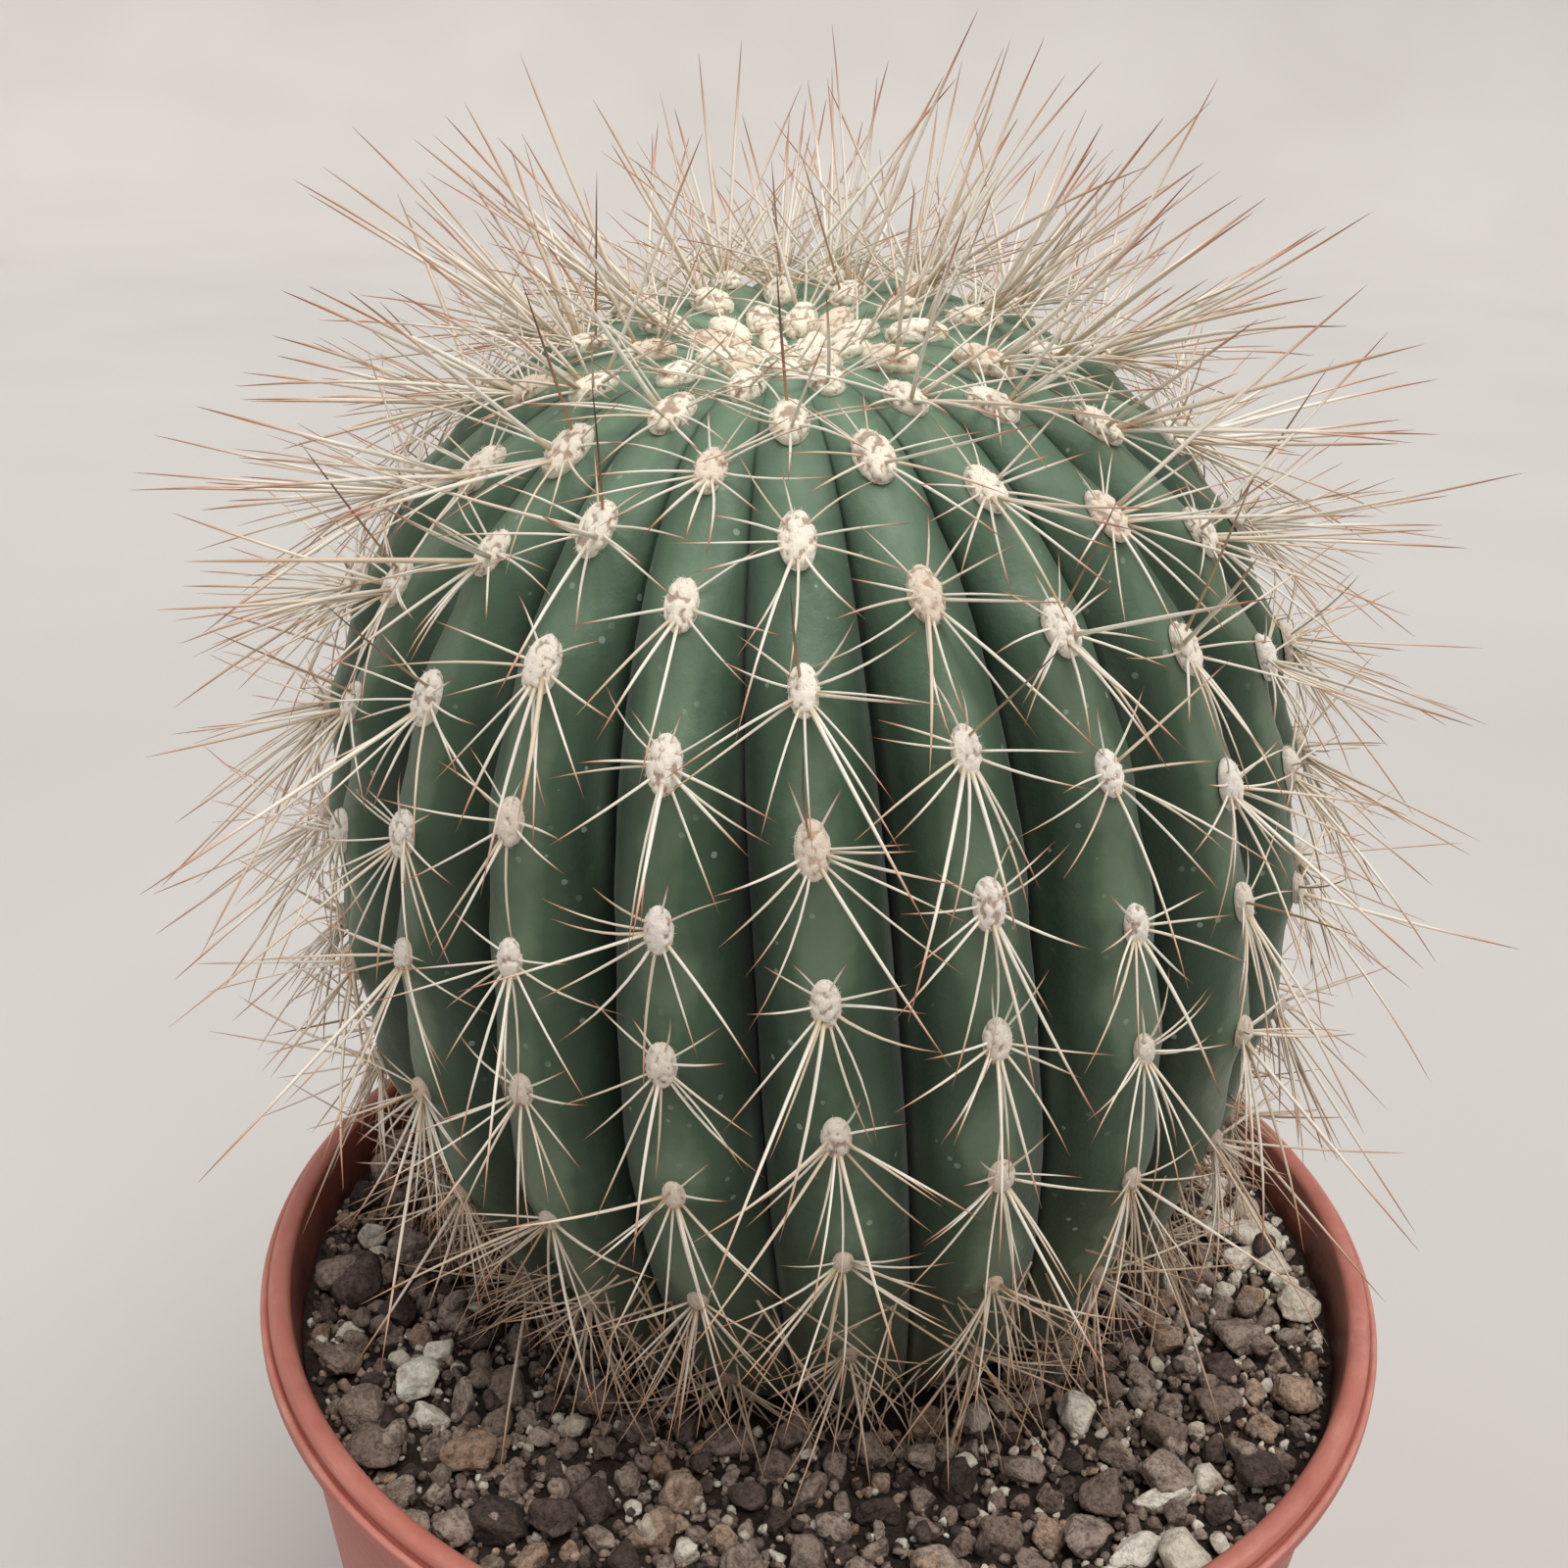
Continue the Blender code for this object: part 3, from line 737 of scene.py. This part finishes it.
def spine_layout(degrees, facing):
    """(degrees round from up, degrees up from the skin, length in mm, base radius in mm, dark, bow)
    of each spine of an areole. facing is 1 on the front rib, 0 at the sides, -1 on the back one."""
    n, u = rng.normal, rng.uniform
    made = []
    young = float(np.clip((40 - degrees) / 22, 0, 1))
    newest = float(np.clip((24 - degrees) / 12, 0, 1))
    low = float(np.clip((degrees - 92) / 30, 0, 1))
    apart = 1 - max(facing, 0.0)
    # radials lie in a fan close to the skin, and longest below
    for angle in RADIAL_ANGLES:
        missing = 0.12 if abs(angle) > 90 else 0.34 + 0.3 * low
        if u() < missing + 0.45 * newest:
            continue
        down = (1 - math.cos(math.radians(angle))) / 2
        around = angle + n(0, 8)
        if low and abs(angle) < 110:
            around += math.copysign(24 * low, angle)
        length = (6.5 + 9.5 * down + 3.5 * low) * u(0.75, 1.25) * (1 - 0.35 * newest)
        up = 15 + 8 * (1 - down) + 14 * young + 9 * low + n(0, 6)
        made.append((around, up, length, 0.145 + 0.04 * down, 0.15 * u() ** 2, 0.10))
    for _ in range(int(round(3 * low))):
        made.append((180 + n(0, 45), 34 + n(0, 10), u(13, 22), 0.16, 0.0, 0.08))
    # centrals are thicker and longer, and stand out and down
    if u() < 0.85 - 0.85 * newest:
        made.append((180 + n(0, 15), 30 + 22 * young + n(0, 8), u(17, 27), 0.23, 0.15 * u(), 0.05))
    if u() < 0.35 + 0.35 * apart - 0.6 * newest:
        made.append((180 + n(0, 38), 34 + 16 * young + n(0, 9), u(22, 34), 0.23, 0.15 * u(), 0.04))
    # a thin dark one stands up from some of them
    if u() < 0.24 - 0.05 * apart + (0.3 * young if facing > 0.2 else 0):
        made.append((n(0, 22), 66 + 8 * young + n(0, 7), u(15, 23), 0.18, u(0.8, 1), 0.03))
    for side in (-1, 1):
        if u() < 0.30 + 0.35 * apart - 0.5 * newest:
            made.append((side * (98 + n(0, 18)), 38 + n(0, 10), u(14, 24) + 4 * apart, 0.20,
                         0.2 * u(), 0.05))
    # ribs at the sides and the back bristle more
    bristle = apart * (1 - newest)
    for _ in range(int(round(6.5 * bristle * (1 - 0.4 * low)))):
        made.append((180 + n(0, 62), 44 + n(0, 11), u(12, 22), 0.175, 0.2 * u(), 0.07))
    upper = np.clip((72 - degrees) / 20, 0, 1)
    for _ in range(int(round(3.0 * bristle * upper + 1.8 * bristle))):
        made.append((180 + n(0, 46), 46 + 8 * upper + n(0, 9), u(23, 36), 0.25 + 0.06 * upper,
                     0.12 * u(), 0.035))
    return made


def spine_tubes(base, direction, bend, length, radius, sides=5, rings=7):
    """Tapered, slightly bowed tubes. Returns vertices, faces, the place along each tube and the
    number of vertices in one tube."""
    count = len(base)
    t = np.linspace(0, 1, rings)
    side = np.cross(direction, np.array([0.31, 0.52, 0.79]))
    side /= np.linalg.norm(side, axis=1, keepdims=True)
    other = np.cross(direction, side)
    centre = (base[:, None] + direction[:, None] * (length[:, None] * t)[..., None]
              + bend[:, None] * (length[:, None] * t ** 2)[..., None])
    taper = np.interp(t, (0, 0.06, 0.5, 0.85, 1), (1.12, 1.0, 0.85, 0.48, 0.1))
    angle = 2 * np.pi * np.arange(sides) / sides
    ring = (np.cos(angle)[None, :, None] * side[:, None]
            + np.sin(angle)[None, :, None] * other[:, None])
    verts = centre[:, :, None] + ring[:, None] * (radius[:, None] * taper)[..., None, None]
    along = np.broadcast_to(t[None, :, None], (count, rings, sides))
    tips = centre[:, -1] + direction * (0.02 * length)[:, None]
    cap = fan(rings * sides, (rings - 1) * sides, sides)[:, [1, 2, 0]]
    root = np.stack([np.zeros(sides - 2, int), np.arange(2, sides), np.arange(1, sides - 1)], 1)
    shell = np.concatenate([between_rings(rings, sides), cap, root])
    points = np.concatenate([verts.reshape(count, -1, 3), tips[:, None]], 1)
    share = np.concatenate([along.reshape(count, -1), np.ones((count, 1))], 1)
    per = rings * sides + 1
    faces = (shell[None] + per * np.arange(count)[:, None, None]).reshape(-1, 3)
    return points.reshape(-1, 3), faces, share.ravel(), per


def fit_length(base, direction, bend, length):
    """Shortens a spine that would leave the object's box, enter the soil or cross the pot's rim."""
    for _ in range(12):
        tip = base + (direction + bend) * length
        outside = np.any(tip < LOW - MARGIN) or np.any(tip > HIGH + MARGIN)
        reach = math.hypot(tip[0], tip[1])
        buried = tip[2] < SOIL_TOP + 0.5 * MM
        through = tip[2] < RIM_TOP + 1.5 * MM and reach > RIM_INNER_RADIUS - 4 * MM
        if not (outside or buried or through):
            break
        length *= 0.93
    return length


def build_spines():
    for tier in ("crown", "shoulder", "widest_front", "widest_back"):
        rows = []
        for rib, degrees, which in AREOLES:
            facing = math.cos(2 * math.pi * rib / RIBS)
            if which == "widest":
                which = "widest_front" if facing > 0 else "widest_back"
            if which != tier:
                continue
            place, axes = areole_frame(rib, degrees)
            wide, long, high = pad_size(degrees)
            for around, up, length, radius, dark, bow in spine_layout(degrees, facing):
                a, e = math.radians(around), math.radians(up)
                local = np.array([math.sin(a) * math.cos(e), math.cos(a) * math.cos(e),
                                  math.sin(e)])
                root = np.array([0.45 * wide * math.sin(a), 0.45 * long * math.cos(a), 0.30 * high])
                direction = axes @ local
                # the low ones curve back towards the skin
                bend = rng.normal(0, bow, 3) + axes @ np.array([0, 0, -0.13 if up < 40 else -0.03])
                bend -= direction * (bend @ direction)
                base = place + axes @ root
                length = fit_length(base, direction, bend, length * MM)
                # upper spines are younger and paler; spines on the side and back ribs get more tan
                # tone as painted light through them and painted shade, while front ones stay pale
                youth_and_light_paleness = max(0.6, 1.0 + 1.4 * facing) + (1.5 if degrees < 66 else 0)
                radius = radius * MM * rng.uniform(0.85, 1.15)
                rows.append((base, direction, bend, length, radius, rng.uniform() ** youth_and_light_paleness,
                             degrees / OLDEST, dark))
        base, direction, bend = (np.array([r[i] for r in rows]) for i in range(3))
        length, radius, tone, age, dark = (np.array([r[i] for r in rows]) for i in range(3, 8))
        verts, faces, along, per = spine_tubes(base, direction, bend, length, radius)
        spines = new_mesh(f"spines_{tier}", verts, faces, along=along, tone=np.repeat(tone, per),
                          age=np.repeat(age, per), dark=np.repeat(dark, per))
        finish_piece(spines, SPINE, "areole_and_spines")


def build_dry_spines():
    """Old spines that hang and lie in a mat round the stem's foot."""
    count = DRY_SPINES
    around = rng.uniform(0, 2 * np.pi, count)
    degrees = rng.uniform(124, 150, count)
    rib = np.floor(around / (2 * np.pi) * RIBS)
    across = rng.uniform(-0.7, 0.7, count)
    base = to_world(stem_surface(rib, across, degrees))
    axis = base - np.array([CENTRE[0], CENTRE[1] + 12 * MM, 0])
    axis[:, 2] = 0
    axis /= np.linalg.norm(axis, axis=1, keepdims=True)
    swing = np.cross(axis, [0, 0, 1.0])
    direction = (axis * rng.uniform(0.1, 0.75, count)[:, None]
                 + swing * rng.normal(0, 0.75, count)[:, None])
    direction[:, 2] = -rng.uniform(0.1, 0.9, count)
    direction /= np.linalg.norm(direction, axis=1, keepdims=True)
    bend = rng.normal(0, 0.05, (count, 3))
    length = rng.uniform(8, 18, count) * MM
    length = np.array([fit_length(*row) for row in zip(base, direction, bend, length)])
    radius = rng.uniform(0.12, 0.2, count) * MM
    verts, faces, along, per = spine_tubes(base, direction, bend, length, radius)
    spines = new_mesh("dry_spines", verts, faces, along=0.3 + 0.6 * along,
                      tone=np.repeat(rng.uniform(0.5, 1, count), per),
                      age=np.repeat(rng.uniform(0.8, 1.1, count), per),
                      dark=np.repeat(rng.uniform(0, 0.35, count), per))
    finish_piece(spines, SPINE, "areole_and_spines")


# ------------------------ soil

def soil_height(x, y):
    r = np.hypot(x, y)
    flat = np.stack([x, y, np.zeros_like(x)], 1)
    rough = 0.8 * MM * value_noise(flat, 7 * MM, 4) + 0.5 * MM * value_noise(flat, 2.4 * MM, 5)
    return SOIL_TOP - 0.9 * MM + SOIL_MOUND * np.clip(1 - r / MOUND_RADIUS, 0, 1) + rough


def build_soil():
    rings, steps = 150, 380
    edge = inner_wall_radius(SOIL_TOP) - 0.3 * MM
    r = np.linspace(0.5 * MM, edge, rings)
    rr, aa = np.meshgrid(r, np.linspace(0, 2 * np.pi, steps, endpoint=False), indexing="ij")
    x, y = (rr * np.sin(aa)).ravel(), (-rr * np.cos(aa)).ravel()
    top = np.stack([x, y, soil_height(x, y)], 1)
    side = [top[-steps:] * [s, s, 0] + [0, 0, z] for s, z in
            ((0.97, SOIL_TOP - 30 * MM), ((inner_wall_radius(FLOOR) - 2 * MM) / edge, SOIL_LOW.z))]
    verts = np.concatenate([top, *side, [[0, 0, top[:steps, 2].mean()], [0, 0, SOIL_LOW.z]]])
    total = rings + len(side)
    pole = total * steps
    faces = np.concatenate([between_rings(total, steps, flip=True), fan(pole, 0, steps),
                            fan(pole + 1, (total - 1) * steps, steps, flip=True)])
    tone = 0.5 + 0.5 * value_noise(verts, 4 * MM, 6)
    finish_piece(new_mesh("soil_bed", verts, faces, tone=tone), EARTH, "soil_grit", "soil")


def pebble(level, seed, facets, rough):
    """A unit pebble: a sphere cut by random planes, with a worn, uneven surface."""
    sphere, faces = ico(level)
    draw = np.random.default_rng(seed)
    planes = draw.normal(0, 1, (facets, 3))
    planes /= np.linalg.norm(planes, axis=1, keepdims=True)
    reach = draw.uniform(0.50, 0.92, facets)
    dots = sphere @ planes.T
    # a plane cuts only where the sphere faces it by more than this cosine
    least = 0.05
    limit = np.where(dots > least, reach / np.maximum(dots, least), 9)
    radius = np.minimum(1, np.min(limit, axis=1))
    radius *= (1 + rough * value_noise(sphere, 0.55, seed)
               + 0.5 * rough * value_noise(sphere, 0.25, seed + 3))
    shape = sphere * radius[:, None]
    return shape / np.abs(shape).max(), faces


SHAPES = {"fine": [pebble(4, 20 + k, 10, 0.11) for k in range(16)],
          "coarse": [pebble(3, 50 + k, 9, 0.13) for k in range(12)],
          "crumb": [pebble(2, 80 + k, 7, 0.15) for k in range(8)]}


def random_turn():
    q = rng.normal(0, 1, 4)
    q /= np.linalg.norm(q)
    w, x, y, z = q
    return np.array([[1 - 2 * (y * y + z * z), 2 * (x * y - w * z), 2 * (x * z + w * y)],
                     [2 * (x * y + w * z), 1 - 2 * (x * x + z * z), 2 * (y * z - w * x)],
                     [2 * (x * z - w * y), 2 * (y * z + w * x), 1 - 2 * (x * x + y * y)]])


def clear_of_stem(x, y, z, radius):
    """True if a grain at that place lies outside the stem."""
    local = (np.array([x, y, z]) - CENTRE) @ TURN
    out = math.hypot(local[0], local[1])
    degrees = math.degrees(math.atan2(out, local[2]))
    return out > crest(degrees)[0] - 1.5 * MM + 0.6 * radius


# Grains that stand out: degrees round from the front, distance out in mm, length in mm, slimness
# and kind
MARKED = (
    (112, 73, 8.5, 0.8, "pumice"), (107, 70, 8, 0.8, "pumice"), (103, 73.5, 7, 0.8, "pumice"),
    (100, 67.5, 8.5, 0.75, "pumice"), (97, 72, 9, 0.8, "pumice"), (93, 68, 7, 0.85, "pumice"),
    (92, 73, 7, 0.85, "pumice"), (45, 66.5, 12, 0.45, "pumice"), (36, 70, 10, 0.5, "pumice"),
    (56, 73, 6.5, 0.75, "pumice"), (41, 74, 6, 0.6, "pumice"), (24, 73.5, 8.5, 0.8, "tan"),
    (-82, 71, 11, 0.95, "lava"), (-74, 72, 4.5, 0.95, "pumice"), (-37, 69, 9.5, 0.9, "lava"),
    (-27, 73, 7, 0.8, "pumice"), (9, 73, 8, 0.8, "tan"),
)
# The pebbles: how many, their least and greatest size in mm, their shapes, and how near two may
# stand, as a share of their radii's sum
PEBBLES = ((60, 6.5, 9.0, "fine", 0.86), (260, 4.6, 6.6, "fine", 0.84),
           (520, 3.1, 4.6, "coarse", 0.80), (1100, 1.9, 3.1, "coarse", 0.76))
TRIES = 14  # for the place of one pebble
TOP_PEBBLES = 90  # that lie on the others
CRUMBS = 6500
INNERMOST = 0.24  # where grains start under the stem, as a share of the squared radius
KINDS = {"lava": LAVA, "grey": GREY, "tan": TAN, "pumice": PUMICE}


def choose_kind(x):
    """More of the grains are pale on the right."""
    right = float(np.clip((x - 20 * MM) / (40 * MM), 0, 1))
    shares = np.array([0.27 - 0.15 * right, 0.50, 0.13 + 0.04 * right, 0.10 + 0.18 * right])
    return str(rng.choice(list(KINDS), p=shares / shares.sum()))


def random_place(edge, innermost):
    """A place within edge of the pot's axis, evenly by area."""
    a = rng.uniform(0, 2 * math.pi)
    out = math.sqrt(rng.uniform(innermost, 1)) * edge
    return out * math.sin(a), -out * math.cos(a)


def build_grains():
    """Loose grains, from the largest down, packed side by side on the soil."""
    edge = inner_wall_radius(SOIL_TOP) - 0.6 * MM
    placed = []  # x, y, radius
    # x, y, height over the soil as a share of the last half size, half sizes, kind, shape,
    # whether it lies flat
    grains = []
    nodes = {}
    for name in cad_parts:
        if name.startswith("stone_"):
            low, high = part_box(name)
            placed.append(((low.x + high.x) / 2, (low.y + high.y) / 2, (high.x - low.x) / 2))
            nodes[name] = (low, high)

    def is_free(x, y, radius, squeeze):
        if math.hypot(x, y) > edge - radius or not clear_of_stem(x, y, SOIL_TOP + radius, radius):
            return False
        p = np.array(placed)
        return not np.any(np.hypot(p[:, 0] - x, p[:, 1] - y) < squeeze * (p[:, 2] + radius))

    for angle, out, size, slim, kind in MARKED:
        a, radius = math.radians(angle), size * MM / 2
        x, y = out * MM * math.sin(a), -out * MM * math.cos(a)
        placed.append((x, y, radius * (0.5 + 0.5 * slim)))
        half = (radius, radius * slim, radius * slim * 0.9)
        grains.append((x, y, 0.42, half, kind, "fine", True))
    for count, smallest, largest, level, squeeze in PEBBLES:
        for _ in range(count):
            radius = rng.uniform(smallest, largest) * MM / 2
            for _ in range(TRIES):
                x, y = random_place(edge - radius, INNERMOST)
                if is_free(x, y, radius, squeeze):
                    placed.append((x, y, radius))
                    slims = rng.uniform(0.58, 1, 2)
                    half = (radius, radius * slims[0], radius * slims[1])
                    lift = rng.uniform(0.25, 0.62)
                    grains.append((x, y, lift, half, choose_kind(x), level, False))
                    break
    for _ in range(TOP_PEBBLES):
        radius = rng.uniform(2.6, 5.2) * MM / 2
        x, y = random_place(edge - radius, 0.35)
        if clear_of_stem(x, y, SOIL_TOP + 4 * MM, radius):
            half = (radius, radius * 0.8, radius * 0.75)
            lift = 1.0 + 1.9 * MM / radius
            grains.append((x, y, lift, half, choose_kind(x), "coarse", False))
    for _ in range(CRUMBS):
        radius = rng.uniform(0.45, 1.15) * MM
        x, y = random_place(edge - radius, INNERMOST)
        if clear_of_stem(x, y, SOIL_TOP, radius):
            half = (radius, radius * 0.8, radius * 0.8)
            lift = rng.uniform(0.2, 1.3)
            grains.append((x, y, lift, half, choose_kind(x), "crumb", False))
    parts = {kind: [] for kind in KINDS}
    tones = {kind: [] for kind in KINDS}
    heights = soil_height(np.array([g[0] for g in grains]), np.array([g[1] for g in grains]))
    for (x, y, lift, half, kind, level, flat), ground in zip(grains, heights):
        shape, faces = SHAPES[level][rng.integers(len(SHAPES[level]))]
        turn = random_turn()
        if flat:
            turn = np.array(Matrix.Rotation(rng.uniform(0, math.pi), 3, "Z"))
        verts = (shape * np.array(half)) @ turn.T
        verts = verts + [x, y, ground + lift * half[2]]
        verts[:, 2] = np.minimum(verts[:, 2], RIM_TOP - 2 * MM)
        parts[kind].append((verts, faces))
        tones[kind].append(np.full(len(verts), rng.uniform()))
    for kind, material in KINDS.items():
        pieces = math.ceil(sum(len(faces) for _, faces in parts[kind]) / MOST_FACES)
        for number in range(pieces):
            verts, faces = joined(parts[kind][number::pieces])
            piece = new_mesh(f"grains_{kind}_{number + 1}", verts, faces,
                             tone=np.concatenate(tones[kind][number::pieces]))
            finish_piece(piece, material, "stone_grey" if kind != "lava" else "soil_grit")
    build_stones(nodes)


def build_stones(nodes):
    """The larger loose stones, each in the place of its CAD node."""
    for number, name in enumerate(sorted(nodes)):
        low, high = nodes[name]
        shape, faces = SHAPES["fine"][number % len(SHAPES["fine"])]
        yaw = np.array(Matrix.Rotation(rng.uniform(0, 6.28), 3, "Z"))
        shape = shape @ yaw.T
        span = shape.max(0) - shape.min(0)
        size = np.array(high - low) * [1.02, 1.02, 1.0]
        verts = (shape - shape.min(0)) / span * size
        verts += (np.array(low) + np.array(high)) / 2 * [1, 1, 0] - [size[0] / 2, size[1] / 2, 0]
        verts[:, 2] += low.z - 0.5 * MM
        kind = ("grey", "lava", "grey", "tan", "grey", "pumice")[number % 6]
        piece = new_mesh(f"{name}_worn", verts, faces, tone=np.full(len(verts), rng.uniform()))
        finish_piece(piece, KINDS[kind], "stone_grey", name)


# ------------------------ stage

# All in metres
FLAT_RADIUS = 2.2
CURVE_RADIUS = 1.2
BACKDROP_RADIUS = 3.4
BACKDROP_TOP = 1.6
# The soft lamps: name, direction, angle across in degrees, strength and colour
LAMPS = (("key", (-0.20, 0.30, -1.0), 42, 2.7, (1.0, 0.98, 0.94)),
         ("left", (0.9, 0.1, -0.4), 70, 0.35, (0.95, 0.97, 1.0)),
         ("right", (-0.9, 0.1, -0.4), 70, 0.35, (1.0, 0.98, 0.95)))
CAMERA_PLACE = (-7.63 * MM, -224.25 * MM, 302.66 * MM)
CAMERA_PITCH = math.radians(23.82)
CAMERA_ROLL = math.radians(-1.83)
CAMERA_LENS = 40.305
CAMERA_SENSOR = 36


def build_stage():
    """A flat floor that curves up into an even backdrop all round, and soft lamps."""
    profile = [(0.0, 0.0)] + [(r, 0.0) for r in np.linspace(0.2, FLAT_RADIUS, 11)]
    profile += [(FLAT_RADIUS + CURVE_RADIUS * math.sin(a),
                 CURVE_RADIUS - CURVE_RADIUS * math.cos(a))
                for a in np.linspace(0.1, math.pi / 2, 16)]
    profile += [(BACKDROP_RADIUS, BACKDROP_TOP)]
    steps = 96
    turn = 2 * np.pi * np.arange(steps) / steps
    verts = np.array([(r * math.cos(a), r * math.sin(a), z) for r, z in profile for a in turn])
    i, j = np.meshgrid(np.arange(len(profile) - 1), np.arange(steps), indexing="ij")
    i, j = i.ravel(), j.ravel()
    k = (j + 1) % steps
    floor = new_mesh("floor", verts, np.stack([i * steps + j, (i + 1) * steps + j,
                                               (i + 1) * steps + k, i * steps + k], 1))
    look = Look("floor_look")
    pale = look.ramp(look.noise(look.coords(), 3, 2), (0.3, (0.50, 0.475, 0.45)),
                     (0.7, (0.54, 0.515, 0.49)))
    look.shade("Base Color", pale)
    look.shade("Roughness", 0.85)
    floor.data.materials.append(look.material)
    world = bpy.data.worlds.new("studio")
    bpy.context.scene.world = world
    world.use_nodes = True
    background = world.node_tree.nodes["Background"]
    background.inputs["Color"].default_value = (0.93, 0.95, 1.0, 1)
    background.inputs["Strength"].default_value = 0.46
    for name, towards, angle, power, colour in LAMPS:
        light = bpy.data.lights.new(name, "SUN")
        light.energy, light.angle, light.color = power, math.radians(angle), colour
        lamp = bpy.data.objects.new(name, light)
        bpy.context.scene.collection.objects.link(lamp)
        lamp.rotation_euler = Vector(towards).to_track_quat("-Z", "Y").to_euler()
    bpy.context.scene.view_settings.view_transform = "Standard"


def build_camera():
    """Above the front, looking down onto the crown."""
    across, up = math.cos(CAMERA_PITCH), math.sin(CAMERA_PITCH)
    forward = Vector((0, across, -up))
    level, down = Vector((1, 0, 0)), Vector((0, -up, -across))
    right = math.cos(CAMERA_ROLL) * level + math.sin(CAMERA_ROLL) * down
    below = math.cos(CAMERA_ROLL) * down - math.sin(CAMERA_ROLL) * level
    camera = bpy.data.objects.new("camera", bpy.data.cameras.new("camera"))
    bpy.context.scene.collection.objects.link(camera)
    camera.matrix_world = (Matrix.Translation(CAMERA_PLACE)
                           @ Matrix((right, -below, -forward)).transposed().to_4x4())
    camera.data.sensor_width = CAMERA_SENSOR
    camera.data.lens = CAMERA_LENS
    camera.data.clip_start = 0.01
    bpy.context.scene.camera = camera


build_pot()
build_stem()
build_wool()
build_spines()
build_dry_spines()
build_soil()
build_grains()
build_stage()
build_camera()

bpy.context.view_layer.update()
